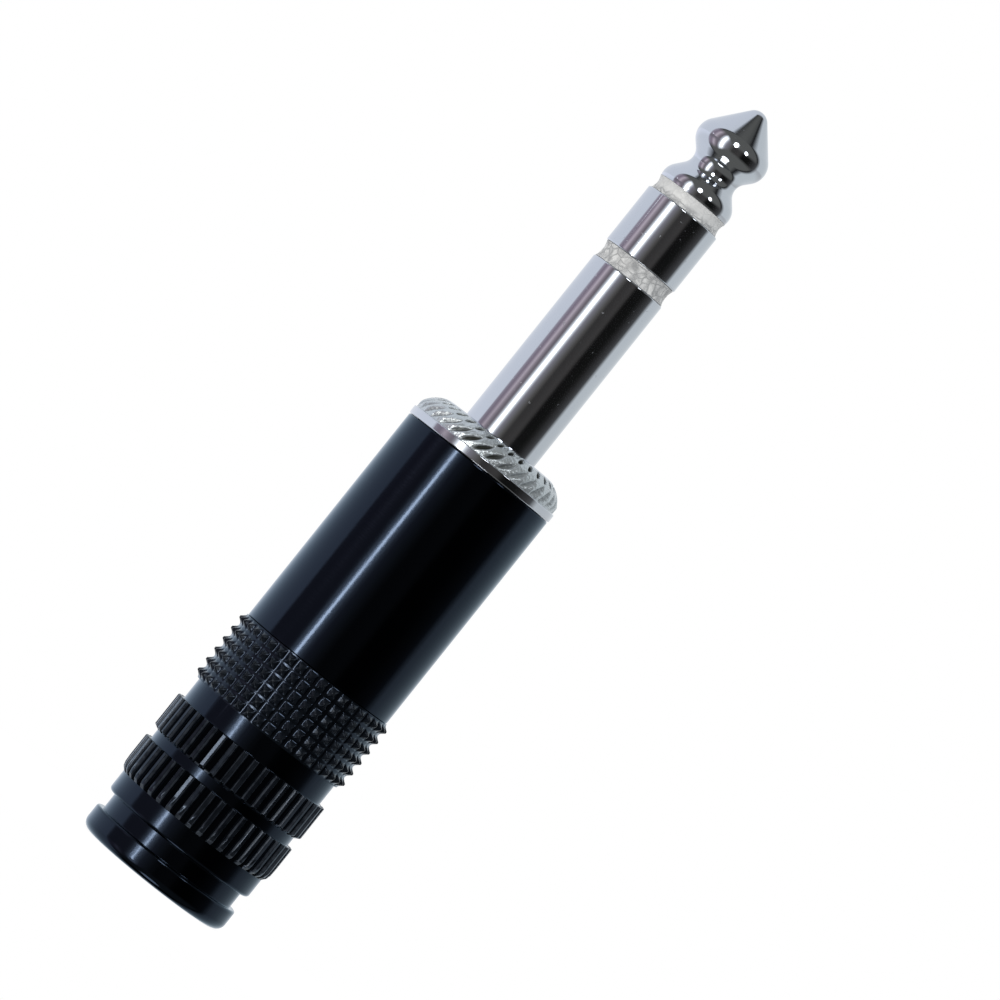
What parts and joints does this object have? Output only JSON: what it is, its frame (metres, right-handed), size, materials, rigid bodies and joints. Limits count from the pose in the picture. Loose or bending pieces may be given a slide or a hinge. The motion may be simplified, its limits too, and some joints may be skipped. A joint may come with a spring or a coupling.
{
  "type": "stereo jack plug",
  "caption": "Straight stereo jack plug: chromed finger with tip, ring and sleeve, domed serrated collar and a black screw-on barrel with knurled bands.",
  "frame": {"origin": "centre of the flat rear face of the barrel, on the plug's axis", "axes": "+Z along the plug's axis from the rear face to the tip; the earth strip inside lies on the -Y side"},
  "size_m": [0.0138, 0.0138, 0.0723],
  "materials": {
    "black_barrel": "gloss",
    "chrome": "polished",
    "white_nylon": "satin",
    "inner_nylon": "satin",
    "bush_plastic": "satin",
    "rod_steel": "satin",
    "brass_tube": "satin",
    "tinned_brass": "satin",
    "clear_tube": "gloss"
  },
  "bodies": {
    "barrel_shell": {"barrel": "black_barrel"},
    "liner_tube": {"liner": "clear_tube"},
    "contacts": {"sleeve_body": "chrome", "ring_insulator": "white_nylon", "ring": "chrome", "tip_insulator": "white_nylon", "tip": "chrome", "tip_rod": "rod_steel", "rod_tube": "inner_nylon", "ring_tube": "brass_tube", "ring_tube_liner": "inner_nylon", "rear_bush": "bush_plastic", "ring_lug": "tinned_brass", "lug_separator": "bush_plastic", "tip_lug": "tinned_brass", "sleeve_lug": "tinned_brass"}
  },
  "joints": [
    {"name": "thread_travel", "type": "slide", "parent": "barrel_shell", "child": "liner_tube", "axis": [0, 0, 1], "range_m": [0, 0.006]},
    {"name": "unscrew", "type": "hinge", "parent": "liner_tube", "child": "contacts", "pos_m": [0, 0, 0.0388], "axis": [0, 0, 1], "range_deg": [0, 2880]}
  ],
  "couplings": [
    {"joint": "thread_travel", "follows": "unscrew", "m_per_rad": 0.00011937}
  ]
}
